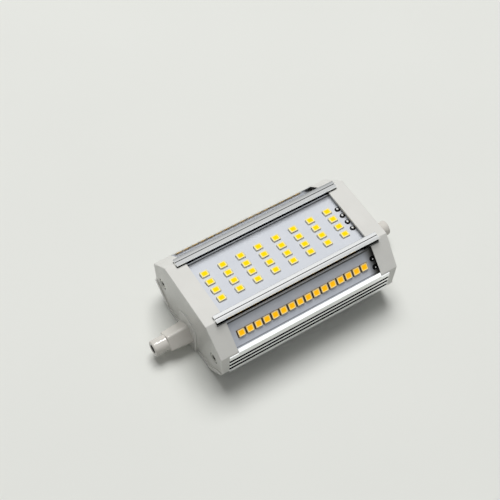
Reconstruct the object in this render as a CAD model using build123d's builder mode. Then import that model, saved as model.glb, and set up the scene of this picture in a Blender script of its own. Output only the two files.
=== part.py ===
"""Double-ended linear LED lamp with an extruded heat sink and two moulded end caps.

The lamp lies on its back. X runs along the lamp, Y across it and Z up, away from the back.
The origin is at the middle of the lamp, on the surface that it rests on. Sizes are in millimetres.
"""
import os
from math import cos, radians, sin, tan

from build123d import *

os.makedirs("parts", exist_ok=True)

# Clearances
board_clearance = 0.1
tongue_clearance = 0.15
lead_hole_clearance = 0.15
screw_clearance = 0.2
contact_clearance = 0.05
port_clearance = 0.05
base_clearance = 0.1

# Whole lamp
lamp_length = 118.0
cap_height = 34.0
cap_top_inset = 1.3
cap_half_width = 26.7
cap_low_corner_z = 11.5
cap_back_half_width = 16.6
slope_angle = 45.0

# Heat sink extrusion
body_length = 77.6
body_proud = 0.3
body_back_z = 0.5
body_back_inset = 0.2
body_corner_drop = 0.5
web = 1.6
fin_pitch = 2.66
fin_gap = 1.45
fin_depth = 2.4
back_groove_depth = 1.2
side_groove_count = 3
chamfer_groove_count = 4
back_groove_count = 11
top_groove_drop = 3.9

# Ridges beside the top board
ridge_outer = 17.2
ridge_width = 3.7
ridge_rise = 1.3
flange_thickness = 0.6
flange_edge = 0.25
slot_height = 1.6
slot_depth = 1.2
flange_score_width = 0.4
flange_score_depth = 0.3

# Boards
board_thickness = 1.0
top_board_recess = 2.4
slope_board_recess = 1.7
groove_depth = 0.9
top_groove_gap = 0.4
slope_groove_gap = 0.8
lower_lip_width = 1.7
board_end_gap = 0.4

# LED packages
led_length = 3.5
led_width = 2.8
led_height = 0.7
led_well_length = 2.7
led_well_width = 2.25
led_well_depth = 0.3
led_column_count = 8
led_row_count = 4
led_column_pitch = 8.5
led_row_pitch = 4.36
slope_led_size = 3.0
slope_led_well = 2.4
slope_led_count = 16
slope_led_pitch = 3.95
slope_led_drop = 0.35
led_shift = -0.5

# End caps
cap_depth_top = 4.6
cap_draft = 3.4
cap_wall = 1.8
cap_corner_radius = 0.6
cap_edge_radius = 0.45
tongue_reach = 4.1
tongue_thickness = 1.0
flap_thickness = 0.6
rim_height = 1.8
rim_rise = 0.6

# Contact base on each end cap
nose_axis_z = 7.3
nose_radius = 3.4
nose_length = 6.4
nose_edge = 0.4
collar_radius = 4.3
collar_taper = 3.6
arch_half_width = 6.8
arch_top_z = 18.3
arch_drop = 0.6
arch_edge = 0.6
spigot_radius = 3.2
spigot_length = 4.0
collar_bore_radius = 2.3
collar_bore_end = 1.4
recess_radius = 1.9
recess_depth = 1.8
contact_radius = 1.55
contact_head = 0.8
contact_shank_radius = 1.2
contact_tail = 1.5

# Cap screws
screw_inset = 6.6
screw_drop = 7.3
screw_radius = 1.35
screw_length = 11.0
screw_head_radius = 2.4
screw_head = 1.5
screw_sink = 0.2
screw_head_taper = 12.0
screw_tube_wall = 0.9
screw_boss_radius = 2.9
cross_length = 2.8
cross_width = 0.8
cross_depth = 0.9

# Driver
driver_thickness = 1.6
driver_half_width = 13.0
driver_end_gap = 2.8
guide_width = 1.0
guide_lip = 0.9
lead_radius = 0.9
lead_overlap = 3.0
row_y = 6.2
pin_radius = 0.4

# Solder joints and output leads
solder_radius = 1.1
solder_height = 0.8
solder_waist = 0.95
solder_shoulder = 0.45
solder_crown = 0.4
solder_setback = 0.8
top_solder_pitch = 3.7
top_solder_count = 4
slope_solder_pitch = 3.75
slope_solder_shift = 0.7
output_lead_radius = 0.5
slope_lead_y = (8.2, 10.6)
slope_solder_count = len(slope_lead_y)

# Derived outline of the heat sink
ridge_inner = ridge_outer - ridge_width
cap_top_half_width = ridge_outer - cap_top_inset
body_half_width = cap_half_width + body_proud
body_back_half_width = cap_back_half_width - body_back_inset
body_low_corner_z = cap_low_corner_z - body_corner_drop

# Derived places along the lamp
joint_x = body_length / 2
tongue_x = joint_x - tongue_reach
tip_x = lamp_length / 2
collar_end_x = tip_x - nose_length
solder_x = tongue_x - solder_setback
board_half_length = joint_x - board_end_gap
driver_half_length = joint_x - driver_end_gap

# Derived heights
board_top_z = cap_height - top_board_recess
seat_z = board_top_z - board_thickness
ridge_top_z = cap_height + ridge_rise
slot_top_z = ridge_top_z - flange_thickness
slot_low_z = slot_top_z - slot_height
driver_top_z = nose_axis_z - lead_radius
driver_low_z = driver_top_z - driver_thickness

# Derived places on the slopes
slope = radians(slope_angle)
seat_out = -slope_board_recess - board_thickness
groove_out = -slope_board_recess + slope_groove_gap
wall_out = seat_out - web


def slope_point(along, out):
    """Return y and z of a point on the +Y slope.

    along runs down the slope from the cap's top corner, and out is the height over the slope's face.
    """
    y = cap_top_half_width + along * cos(slope) + out * sin(slope)
    z = cap_height - along * sin(slope) + out * cos(slope)
    return y, z


def along_at(y, out):
    """Return how far down the slope a line at height out crosses the upright plane at y."""
    return (y - cap_top_half_width - out * sin(slope)) / cos(slope)


def both_sides(half):
    """Close a half outline with its mirror image across the lamp's middle plane."""
    return half + [(-y, z) for y, z in reversed(half) if y > 0]


brow_z = slope_point(along_at(body_half_width, 0), 0)[1]
screw_y = body_half_width - screw_inset
screw_z = brow_z - screw_drop
lip_along = along_at(body_half_width, 0) - lower_lip_width
upper_along = along_at(ridge_outer, -slope_board_recess)
slope_board_start = upper_along - groove_depth
slope_board_end = lip_along + groove_depth
slope_board_middle = (slope_board_start + slope_board_end) / 2
slope_board_width = slope_board_end - slope_board_start - 2 * board_clearance
top_board_half_width = ridge_inner + groove_depth - board_clearance

top_plane = Plane.XY.offset(board_top_z)


def slope_plane(side):
    """Return the plane on a slope board's top, facing out: side -1 is the front and 1 the rear."""
    y, z = slope_point(slope_board_middle, -slope_board_recess)
    return Plane(origin=(0, side * y, z), x_dir=(1, 0, 0), z_dir=(0, side * sin(slope), cos(slope)))


def save(builder, name):
    """Label the finished piece and write it under its own name."""
    builder.part.label = name
    export_step(builder.part, f"parts/{name}.step")


# Heat sink extrusion

outer_half = [
    (0, body_back_z),
    (body_back_half_width, body_back_z),
    (body_half_width, body_low_corner_z),
    slope_point(along_at(body_half_width, 0), 0),
    slope_point(lip_along, 0),
    slope_point(lip_along, -slope_board_recess + board_clearance),
    slope_point(slope_board_end, -slope_board_recess + board_clearance),
    slope_point(slope_board_end, seat_out),
    slope_point(slope_board_start, seat_out),
    slope_point(slope_board_start, groove_out),
    slope_point(along_at(ridge_outer, groove_out), groove_out),
    (ridge_outer, slot_low_z),
    (ridge_outer - slot_depth, slot_low_z),
    (ridge_outer - slot_depth, slot_top_z),
    (ridge_outer, slot_top_z),
    (ridge_outer, ridge_top_z),
    (ridge_inner, ridge_top_z),
    (ridge_inner, slot_top_z),
    (ridge_inner + slot_depth, slot_top_z),
    (ridge_inner + slot_depth, slot_low_z),
    (ridge_inner, slot_low_z),
    (ridge_inner, board_top_z + top_groove_gap),
    (ridge_inner + groove_depth, board_top_z + top_groove_gap),
    (ridge_inner + groove_depth, seat_z),
    (0, seat_z),
]

chamfer_run = body_half_width - body_back_half_width
chamfer_rise = body_low_corner_z - body_back_z
chamfer_length = (chamfer_run ** 2 + chamfer_rise ** 2) ** 0.5
chamfer_wall = fin_depth + web
cavity_floor_z = body_back_z + back_groove_depth + web
cavity_half_width = body_half_width - fin_depth - web
cavity_top_z = seat_z - web
chamfer_slant = chamfer_rise / chamfer_run
chamfer_lift = chamfer_wall * chamfer_length / chamfer_run


def cavity_chamfer_z(y):
    """Return the height of the cavity's slanted floor at y."""
    return body_back_z + (y - body_back_half_width) * chamfer_slant + chamfer_lift


cavity_floor_inset = (chamfer_lift - cavity_floor_z + body_back_z) / chamfer_slant
cavity_floor_half_width = body_back_half_width - cavity_floor_inset
cavity_half = [
    (0, cavity_floor_z),
    (cavity_floor_half_width, cavity_floor_z),
    (cavity_half_width, cavity_chamfer_z(cavity_half_width)),
    slope_point(along_at(cavity_half_width, wall_out), wall_out),
    slope_point((cap_height + wall_out * cos(slope) - cavity_top_z) / sin(slope), wall_out),
    (0, cavity_top_z),
]

first_groove_z = brow_z - top_groove_drop
chamfer_angle = Vector(1, 0, 0).get_angle(Vector(chamfer_run, chamfer_rise, 0))
chamfer_groove_start = (chamfer_length - (chamfer_groove_count - 1) * fin_pitch) / 2
ridge_middle = (ridge_inner + ridge_outer) / 2
guide_top_z = driver_top_z + board_clearance + guide_lip
guide_outer = driver_half_width + board_clearance + guide_width
guide_groove_y = guide_outer - 1.5 * guide_width
guide_groove_height = driver_thickness + board_clearance
mill_overcut = 1.0

with BuildPart() as heatsink_body:
    with BuildSketch(Plane.YZ) as section:
        Polygon(*both_sides(outer_half))
        fillet(section.vertices().group_by(Axis.Y)[-1], radius=flange_edge)
        Polygon(*both_sides(cavity_half), mode=Mode.SUBTRACT)
        for side in (-1, 1):
            # Guides that hold the driver board by its edges
            with Locations((side * (guide_outer - guide_width), (cavity_floor_z + guide_top_z) / 2)):
                Rectangle(2 * guide_width, guide_top_z - cavity_floor_z)
            with Locations((side * guide_groove_y, driver_low_z + guide_groove_height / 2)):
                Rectangle(guide_width, guide_groove_height, mode=Mode.SUBTRACT)
            # Screw ports, tied to the side walls
            with Locations((side * (screw_y + cavity_half_width) / 2, screw_z)):
                Rectangle(cavity_half_width - screw_y + web, 2 * screw_boss_radius - web)
            with Locations((side * screw_y, screw_z)):
                Circle(screw_boss_radius)
                Circle(screw_radius + port_clearance, mode=Mode.SUBTRACT)
            # Grooves between the fins, on the side and on the slanted back edge
            for index in range(side_groove_count):
                groove_z = first_groove_z - index * fin_pitch
                with Locations((side * (body_half_width - fin_depth / 2), groove_z)):
                    Rectangle(fin_depth, fin_gap, mode=Mode.SUBTRACT)
            for index in range(chamfer_groove_count):
                share = (chamfer_groove_start + index * fin_pitch) / chamfer_length
                groove_y = side * (body_half_width - share * chamfer_run)
                groove_z = body_low_corner_z - share * chamfer_rise
                with Locations(Location((groove_y, groove_z), side * chamfer_angle)):
                    Rectangle(fin_gap, 2 * fin_depth, mode=Mode.SUBTRACT)
            # Score line along the ridge's flange
            with Locations((side * ridge_middle, ridge_top_z)):
                Rectangle(flange_score_width, 2 * flange_score_depth, mode=Mode.SUBTRACT)
        with Locations((0, body_back_z)):
            with GridLocations(fin_pitch, 1, back_groove_count, 1):
                Rectangle(fin_gap, 2 * back_groove_depth, mode=Mode.SUBTRACT)
    extrude(amount=joint_x, both=True)
    # The lower lips are milled down at both ends, under the flaps of the end caps
    for end in (-1, 1):
        with BuildSketch(Plane.YZ.offset(end * joint_x)):
            for side in (-1, 1):
                notch = [
                    slope_point(lip_along - groove_depth, -flap_thickness),
                    slope_point(along_at(body_half_width + mill_overcut, -flap_thickness), -flap_thickness),
                    slope_point(along_at(body_half_width + mill_overcut, mill_overcut), mill_overcut),
                    slope_point(lip_along - groove_depth, mill_overcut),
                ]
                Polygon(*[(side * y, z) for y, z in notch])
        extrude(amount=-end * (tongue_reach + tongue_clearance), mode=Mode.SUBTRACT)
    # Holes for the output leads, drilled through the seats
    with Locations(top_plane):
        with Locations((solder_x, 0)):
            with GridLocations(1, top_solder_pitch, 1, top_solder_count):
                Hole(output_lead_radius + lead_hole_clearance, depth=board_thickness + 2 * web)
    for side in (-1, 1):
        with Locations(slope_plane(side)):
            with Locations((solder_x, side * slope_solder_shift)):
                with GridLocations(1, slope_solder_pitch, 1, slope_solder_count):
                    Hole(output_lead_radius + lead_hole_clearance, depth=board_thickness + 2 * web)
save(heatsink_body, "heatsink_body")


# Boards that slide into the seats

with BuildPart() as top_led_board:
    with BuildSketch(top_plane):
        Rectangle(2 * board_half_length, 2 * top_board_half_width)
        with Locations((solder_x, 0)):
            with GridLocations(1, top_solder_pitch, 1, top_solder_count):
                Circle(output_lead_radius + lead_hole_clearance, mode=Mode.SUBTRACT)
    extrude(amount=-board_thickness)
save(top_led_board, "top_led_board")

with BuildPart() as front_led_board:
    with BuildSketch(slope_plane(-1)):
        Rectangle(2 * board_half_length, slope_board_width)
        with Locations((solder_x, -slope_solder_shift)):
            with GridLocations(1, slope_solder_pitch, 1, slope_solder_count):
                Circle(output_lead_radius + lead_hole_clearance, mode=Mode.SUBTRACT)
    extrude(amount=-board_thickness)
save(front_led_board, "front_led_board")

with BuildPart() as rear_led_board:
    mirror(front_led_board.part, about=Plane.XZ)
save(rear_led_board, "rear_led_board")


# LED packages: a white housing with a shallow well, and the phosphor that fills the well


def top_grid(height, length, width):
    """Return rectangles in the top LED packages' places, at a height over the board."""
    with BuildSketch(top_plane.offset(height)) as grid:
        with Locations((led_shift, 0)):
            with GridLocations(led_column_pitch, led_row_pitch, led_column_count, led_row_count):
                Rectangle(length, width)
    return grid.sketch


def front_row(height, size):
    """Return squares in the front LED packages' places, at a height over the board."""
    with BuildSketch(slope_plane(-1).offset(height)) as row:
        with Locations((led_shift, -slope_led_drop)):
            with GridLocations(slope_led_pitch, 1, slope_led_count, 1):
                Rectangle(size, size)
    return row.sketch


with BuildPart() as top_led_housings:
    extrude(top_grid(0, led_length, led_width), amount=led_height)
    wells = top_grid(led_height, led_well_length, led_well_width)
    extrude(wells, amount=-led_well_depth, mode=Mode.SUBTRACT)
save(top_led_housings, "top_led_housings")

with BuildPart() as top_led_phosphors:
    extrude(top_grid(led_height, led_well_length, led_well_width), amount=-led_well_depth)
save(top_led_phosphors, "top_led_phosphors")

with BuildPart() as front_led_housings:
    extrude(front_row(0, slope_led_size), amount=led_height)
    extrude(front_row(led_height, slope_led_well), amount=-led_well_depth, mode=Mode.SUBTRACT)
save(front_led_housings, "front_led_housings")

with BuildPart() as front_led_phosphors:
    extrude(front_row(led_height, slope_led_well), amount=-led_well_depth)
save(front_led_phosphors, "front_led_phosphors")

with BuildPart() as rear_led_housings:
    mirror(front_led_housings.part, about=Plane.XZ)
save(rear_led_housings, "rear_led_housings")

with BuildPart() as rear_led_phosphors:
    mirror(front_led_phosphors.part, about=Plane.XZ)
save(rear_led_phosphors, "rear_led_phosphors")


# Solder joints: low domes over the ends of the output leads

with BuildPart() as solder_dome:
    with BuildSketch(Plane.XZ):
        Polygon(
            (0, 0),
            (solder_radius, 0),
            (solder_waist, solder_shoulder),
            (solder_crown, solder_height),
            (0, solder_height),
        )
    revolve(axis=Axis.Z)

with BuildPart() as top_solder_joints:
    with Locations(top_plane):
        with Locations((solder_x, 0)):
            with GridLocations(1, top_solder_pitch, 1, top_solder_count):
                add(solder_dome.part)
save(top_solder_joints, "top_solder_joints")

with BuildPart() as front_solder_joints:
    with Locations(slope_plane(-1)):
        with Locations((solder_x, -slope_solder_shift)):
            with GridLocations(1, slope_solder_pitch, 1, slope_solder_count):
                add(solder_dome.part)
save(front_solder_joints, "front_solder_joints")

with BuildPart() as rear_solder_joints:
    mirror(front_solder_joints.part, about=Plane.XZ)
save(rear_solder_joints, "rear_solder_joints")


# End caps, each one moulding with its tongues and the pad for its contact base


def cap_face_x(z):
    """Return how far out the drafted end face lies at height z."""
    return joint_x + cap_depth_top - (cap_height - z) * tan(radians(cap_draft))


cap_outline = both_sides([
    (0, 0),
    (cap_back_half_width, 0),
    (cap_half_width, cap_low_corner_z),
    slope_point(along_at(cap_half_width, 0), 0),
    (cap_top_half_width, cap_height),
    (0, cap_height),
])
end_face = Plane(origin=(cap_face_x(0), 0, 0), x_dir=(0, 1, 0), z_dir=(1, 0, -tan(radians(cap_draft))))
face_stretch = 1 / cos(radians(cap_draft))
arch_x = cap_face_x(cap_height) - arch_drop
arch_proud = arch_x - cap_face_x(arch_top_z)
tongue_y = ridge_outer + tongue_clearance
tongue_end = lip_along - tongue_clearance
slope_tongue = [
    slope_point(along_at(tongue_y, -tongue_thickness), -tongue_thickness),
    slope_point(tongue_end, -tongue_thickness),
    slope_point(tongue_end, -flap_thickness),
    slope_point(along_at(cap_half_width, -flap_thickness), -flap_thickness),
    slope_point(along_at(cap_half_width, 0), 0),
    slope_point(along_at(tongue_y, 0), 0),
]
screw_seat_x = cap_face_x(screw_z) - screw_head - screw_sink
collar_bore_x = collar_end_x - collar_bore_end
contact_face_x = tip_x - recess_depth
contact_seat_x = contact_face_x - contact_head
contact_tail_x = collar_bore_x - contact_tail
spigot_end_x = arch_x - spigot_length

with BuildPart() as right_end_cap:
    # Body, cut off by the drafted end face
    with BuildSketch(Plane.YZ.offset(joint_x)) as outline:
        Polygon(*cap_outline)
        fillet(outline.vertices().group_by(Axis.Y)[-2:], radius=cap_corner_radius)
    extrude(amount=cap_depth_top)
    with BuildSketch(Plane.XZ):
        Polygon(
            (joint_x, 0),
            (cap_face_x(0), 0),
            (cap_face_x(cap_height), cap_height),
            (joint_x, cap_height),
        )
    extrude(amount=cap_half_width, both=True, mode=Mode.INTERSECT)
    face_edges = right_end_cap.faces().sort_by(Axis.X)[-1].edges()
    fillet(face_edges.filter_by(lambda edge: edge.center().Z > cap_low_corner_z), radius=cap_edge_radius)
    # Raised rim along the back edge and the two slanted edges
    with BuildSketch(end_face):
        Polygon(*[(y, z * face_stretch) for y, z in cap_outline])
        offset(amount=-rim_height, mode=Mode.SUBTRACT)
        with Locations((0, (cap_low_corner_z + cap_height) * face_stretch)):
            Rectangle(2 * cap_half_width, 2 * cap_height * face_stretch, mode=Mode.SUBTRACT)
    extrude(amount=rim_rise, dir=(1, 0, 0))
    # Arch-shaped pad that the contact base sits on
    with BuildSketch(Plane.YZ.offset(arch_x)):
        with Locations((0, arch_top_z - arch_half_width)):
            Circle(arch_half_width)
            Rectangle(2 * arch_half_width, arch_top_z - arch_half_width, align=(Align.CENTER, Align.MAX))
    extrude(amount=joint_x - arch_x)
    pad_edges = right_end_cap.faces().filter_by(Axis.X).sort_by(Axis.X)[-1].edges()
    chamfer(pad_edges.filter_by(lambda edge: edge.center().Z > 0), length=min(arch_edge, 0.8 * arch_proud))
    # Pocket behind the end wall, with a tube round each screw
    with BuildSketch(end_face.offset(-cap_wall)):
        Polygon(*[(y, z * face_stretch) for y, z in cap_outline])
        offset(amount=-cap_wall, mode=Mode.REPLACE)
    extrude(amount=cap_depth_top, dir=(-1, 0, 0), mode=Mode.SUBTRACT)
    with BuildSketch(Plane.YZ.offset(joint_x)):
        with Locations((-screw_y, screw_z), (screw_y, screw_z)):
            Circle(screw_head_radius + screw_clearance + screw_tube_wall)
    extrude(amount=cap_face_x(screw_z) - cap_wall / 2 - joint_x)
    with Locations(Plane.YZ.offset(screw_seat_x + cap_depth_top)):
        with Locations((-screw_y, screw_z), (screw_y, screw_z)):
            CounterBoreHole(
                radius=screw_radius + screw_clearance,
                counter_bore_radius=screw_head_radius + screw_clearance,
                counter_bore_depth=cap_depth_top,
                depth=2 * cap_depth_top,
            )
    # Hole for the contact base's spigot
    with BuildSketch(Plane.YZ.offset(arch_x)):
        with Locations((0, nose_axis_z)):
            Circle(spigot_radius + base_clearance)
    extrude(amount=joint_x - arch_x, mode=Mode.SUBTRACT)
    # Tongues over the ends of the boards
    with BuildSketch(Plane.YZ.offset(tongue_x)) as tongues:
        for side in (-1, 1):
            Polygon(*[(side * y, z) for y, z in slope_tongue])
        across = tongues.vertices().group_by(Axis.X)
        fillet([across[end].sort_by(Axis.Y)[-1] for end in (0, -1)], radius=cap_corner_radius)
        with Locations((0, cap_height - tongue_thickness / 2)):
            Rectangle(2 * (ridge_inner - tongue_clearance), tongue_thickness)
    extrude(amount=tongue_reach)
save(right_end_cap, "right_end_cap")

with BuildPart() as left_end_cap:
    mirror(right_end_cap.part, about=Plane.YZ)
save(left_end_cap, "left_end_cap")


# Contact bases: a tapered collar and a round nose, with a spigot through the cap's pad

with BuildPart() as right_contact_base:
    with BuildSketch(Plane.YZ.offset(arch_x)):
        with Locations((0, nose_axis_z)):
            Circle(collar_radius)
    extrude(amount=collar_end_x - arch_x, taper=collar_taper)
    with BuildSketch(Plane.YZ.offset(collar_end_x)):
        with Locations((0, nose_axis_z)):
            Circle(nose_radius)
    extrude(amount=nose_length)
    chamfer(right_contact_base.faces().sort_by(Axis.X)[-1].edges(), length=nose_edge)
    with BuildSketch(Plane.YZ.offset(arch_x)):
        with Locations((0, nose_axis_z)):
            Circle(spigot_radius)
    extrude(amount=-spigot_length)
    # Stepped bore for the contact and its lead
    with BuildSketch(Plane.XZ):
        Polygon(
            (spigot_end_x, nose_axis_z),
            (tip_x, nose_axis_z),
            (tip_x, nose_axis_z + recess_radius),
            (contact_face_x, nose_axis_z + recess_radius),
            (contact_face_x, nose_axis_z + contact_radius + contact_clearance),
            (contact_seat_x, nose_axis_z + contact_radius + contact_clearance),
            (contact_seat_x, nose_axis_z + contact_shank_radius + contact_clearance),
            (collar_bore_x, nose_axis_z + contact_shank_radius + contact_clearance),
            (collar_bore_x, nose_axis_z + collar_bore_radius),
            (spigot_end_x, nose_axis_z + collar_bore_radius),
        )
    revolve(axis=Axis((0, 0, nose_axis_z), (1, 0, 0)), mode=Mode.SUBTRACT)
save(right_contact_base, "right_contact_base")

with BuildPart() as left_contact_base:
    mirror(right_contact_base.part, about=Plane.YZ)
save(left_contact_base, "left_contact_base")


# Contacts, recessed in the noses

with BuildPart() as right_contact:
    with BuildSketch(Plane.XZ):
        Polygon(
            (contact_tail_x, nose_axis_z),
            (contact_face_x, nose_axis_z),
            (contact_face_x, nose_axis_z + contact_radius),
            (contact_seat_x, nose_axis_z + contact_radius),
            (contact_seat_x, nose_axis_z + contact_shank_radius),
            (contact_tail_x, nose_axis_z + contact_shank_radius),
        )
    revolve(axis=Axis((0, 0, nose_axis_z), (1, 0, 0)))
save(right_contact, "right_contact")

with BuildPart() as left_contact:
    mirror(right_contact.part, about=Plane.YZ)
save(left_contact, "left_contact")


# Cross-head screws that hold the end caps

with BuildPart() as right_cap_screws:
    with BuildSketch(Plane.YZ.offset(screw_seat_x)):
        with Locations((-screw_y, screw_z), (screw_y, screw_z)):
            Circle(screw_head_radius)
    extrude(amount=screw_head, taper=screw_head_taper)
    with BuildSketch(Plane.YZ.offset(screw_seat_x)):
        with Locations((-screw_y, screw_z), (screw_y, screw_z)):
            Circle(screw_radius)
    extrude(amount=-screw_length)
    with BuildSketch(Plane.YZ.offset(screw_seat_x + screw_head)):
        with Locations((-screw_y, screw_z), (screw_y, screw_z)):
            Rectangle(cross_length, cross_width, rotation=45)
            Rectangle(cross_width, cross_length, rotation=45)
    extrude(amount=-cross_depth, mode=Mode.SUBTRACT)
save(right_cap_screws, "right_cap_screws")

with BuildPart() as left_cap_screws:
    mirror(right_cap_screws.part, about=Plane.YZ)
save(left_cap_screws, "left_cap_screws")


# Driver board, slid between the guides, and the leads to it

with BuildPart() as driver_board:
    with BuildSketch(Plane.XY.offset(driver_top_z)):
        Rectangle(2 * driver_half_length, 2 * driver_half_width)
    extrude(amount=-driver_thickness)
save(driver_board, "driver_board")

with BuildPart() as right_input_lead:
    with BuildSketch(Plane.YZ.offset(contact_tail_x)):
        with Locations((0, nose_axis_z)):
            Circle(lead_radius)
    extrude(amount=driver_half_length - lead_overlap - contact_tail_x)
save(right_input_lead, "right_input_lead")

with BuildPart() as left_input_lead:
    mirror(right_input_lead.part, about=Plane.YZ)
save(left_input_lead, "left_input_lead")

with BuildPart() as top_output_leads:
    with BuildSketch(Plane.XY.offset(driver_top_z)):
        with Locations((solder_x, 0)):
            with GridLocations(1, top_solder_pitch, 1, top_solder_count):
                Circle(output_lead_radius)
    extrude(amount=board_top_z - driver_top_z)
save(top_output_leads, "top_output_leads")

with BuildPart() as front_output_leads:
    for index, start_y in enumerate(slope_lead_y):
        step = index - (slope_solder_count - 1) / 2
        along = slope_board_middle + slope_solder_shift + step * slope_solder_pitch
        end_y, end_z = slope_point(along, -slope_board_recess)
        bend_z = end_z - (end_y - start_y) / tan(slope)
        with BuildLine():
            Polyline(
                (solder_x, -start_y, driver_top_z),
                (solder_x, -start_y, bend_z),
                (solder_x, -end_y, end_z),
            )
        with BuildSketch(Plane.XY.offset(driver_top_z)):
            with Locations((solder_x, -start_y)):
                Circle(output_lead_radius)
        sweep(transition=Transition.RIGHT)
save(front_output_leads, "front_output_leads")

with BuildPart() as rear_output_leads:
    mirror(front_output_leads.part, about=Plane.XZ)
save(rear_output_leads, "rear_output_leads")


# Driver components, in columns with equal gaps along the board

fuse_height = 9.0
fuse_radius = 1.9
fuse_cap = 1.5
fuse_cap_radius = 2.1
varistor_radius = 4.0
varistor_thickness = 3.4
varistor_lift = 0.8
bridge_length = 8.5
bridge_width = 6.4
bridge_height = 3.2
film_length = 13.0
film_width = 6.0
film_height = 10.0
choke_radius = 4.5
choke_height = 9.0
choke_rim = 1.2
choke_waist = 0.4
bulk_radius = 5.0
bulk_height = 14.4
can_groove = 0.3
can_groove_z = 1.8
can_groove_height = 0.8
core_length = 14.0
core_depth = 5.0
core_height = 12.6
core_leg = 3.6
core_yoke = 2.1
winding_clearance = 0.1
winding_overhang = 2.9
chip_length = 4.9
chip_width = 3.9
chip_height = 1.5
chip_pins = 4
chip_pitch = 1.27
chip_leg_width = 0.4
chip_leg_reach = 0.8
chip_y = 9.0
diode_length = 6.8
diode_width = 5.9
diode_height = 2.3
output_can_radius = 4.0
output_can_height = 12.0

column_lengths = (2 * varistor_radius, film_length, 2 * bulk_radius, core_length, 2 * output_can_radius)
layout_start = -driver_half_length
layout_end = solder_x - solder_radius
column_gap = (layout_end - layout_start - sum(column_lengths)) / (len(column_lengths) + 1)
column_x = []
edge_x = layout_start
for length in column_lengths:
    column_x.append(edge_x + column_gap + length / 2)
    edge_x = edge_x + column_gap + length
fuse_x, film_x, bulk_x, core_x, output_x = column_x
driver_plane = Plane.XY.offset(driver_top_z)


def can_face(radius, height):
    """Return the half section of a capacitor can that stands on the driver board."""
    with BuildSketch(Plane.XZ) as face:
        Polygon(
            (0, 0),
            (radius, 0),
            (radius, can_groove_z),
            (radius - can_groove, can_groove_z),
            (radius - can_groove, can_groove_z + can_groove_height),
            (radius, can_groove_z + can_groove_height),
            (radius, height),
            (0, height),
        )
    return face.sketch


with BuildPart() as fuse_resistor:
    with BuildSketch(driver_plane):
        with Locations((fuse_x, -row_y)):
            Circle(fuse_radius)
    extrude(amount=fuse_height)
    with BuildSketch(driver_plane.offset(fuse_height)):
        with Locations((fuse_x, -row_y)):
            Circle(fuse_cap_radius)
    extrude(amount=-fuse_cap)
    with BuildSketch(driver_plane):
        with Locations((fuse_x, -row_y)):
            Circle(fuse_cap_radius)
    extrude(amount=fuse_cap)
save(fuse_resistor, "fuse_resistor")

with BuildPart() as varistor:
    with BuildSketch(Plane.XZ.offset(-row_y)):
        with Locations((fuse_x, driver_top_z + varistor_lift + varistor_radius)):
            Circle(varistor_radius)
    extrude(amount=varistor_thickness / 2, both=True)
    with BuildSketch(driver_plane):
        with Locations((fuse_x, row_y)):
            with GridLocations(varistor_radius, 1, 2, 1):
                Circle(pin_radius)
    extrude(amount=varistor_radius)
save(varistor, "varistor")

with BuildPart() as bridge_rectifier:
    with BuildSketch(driver_plane):
        with Locations((film_x, -row_y)):
            Rectangle(bridge_length, bridge_width)
    extrude(amount=bridge_height)
save(bridge_rectifier, "bridge_rectifier")

with BuildPart() as film_capacitor:
    with BuildSketch(driver_plane):
        with Locations((film_x, row_y)):
            RectangleRounded(film_length, film_width, film_width / 6)
    extrude(amount=film_height)
save(film_capacitor, "film_capacitor")

with BuildPart() as choke:
    with BuildSketch(Plane.XZ) as choke_face:
        Polygon(
            (0, 0),
            (choke_radius, 0),
            (choke_radius, choke_rim),
            (choke_radius - choke_waist, choke_rim),
            (choke_radius - choke_waist, choke_height - choke_rim),
            (choke_radius, choke_height - choke_rim),
            (choke_radius, choke_height),
            (0, choke_height),
        )
    with Locations((bulk_x, -row_y, driver_top_z)):
        add(revolve(choke_face.sketch, axis=Axis.Z, mode=Mode.PRIVATE))
save(choke, "choke")

with BuildPart() as bulk_capacitor:
    with Locations((bulk_x, row_y, driver_top_z)):
        add(revolve(can_face(bulk_radius, bulk_height), axis=Axis.Z, mode=Mode.PRIVATE))
save(bulk_capacitor, "bulk_capacitor")

with BuildPart() as output_capacitor:
    with Locations((output_x, row_y, driver_top_z)):
        add(revolve(can_face(output_can_radius, output_can_height), axis=Axis.Z, mode=Mode.PRIVATE))
save(output_capacitor, "output_capacitor")

core_window = (core_length - core_leg) / 2 - core_yoke
window_height = core_height - 2 * core_yoke
with BuildPart() as transformer_core:
    with BuildSketch(Plane.XZ):
        with Locations((core_x, driver_top_z + core_height / 2)):
            Rectangle(core_length, core_height)
            with GridLocations(core_leg + core_window, 1, 2, 1):
                Rectangle(core_window, window_height, mode=Mode.SUBTRACT)
    extrude(amount=core_depth / 2, both=True)
save(transformer_core, "transformer_core")

with BuildPart() as transformer_winding:
    with BuildSketch(driver_plane.offset(core_yoke)):
        with Locations((core_x, 0)):
            RectangleRounded(
                core_leg + 2 * core_window - 2 * winding_clearance,
                core_depth + 2 * winding_overhang,
                winding_overhang / 2,
            )
            Rectangle(
                core_leg + 2 * winding_clearance,
                core_depth + 2 * winding_clearance,
                mode=Mode.SUBTRACT,
            )
    extrude(amount=window_height - winding_clearance)
save(transformer_winding, "transformer_winding")

with BuildPart() as driver_chip:
    with BuildSketch(driver_plane):
        with Locations((core_x, -chip_y)):
            Rectangle(chip_length, chip_width)
    extrude(amount=chip_height)
    with BuildSketch(driver_plane):
        with Locations((core_x, -chip_y)):
            with GridLocations(chip_pitch, chip_width, chip_pins, 2):
                Rectangle(chip_leg_width, 2 * chip_leg_reach)
    extrude(amount=chip_height / 2)
save(driver_chip, "driver_chip")

with BuildPart() as output_diode:
    with BuildSketch(driver_plane):
        with Locations((output_x, -row_y)):
            Rectangle(diode_length, diode_width)
    extrude(amount=diode_height)
save(output_diode, "output_diode")
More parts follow.
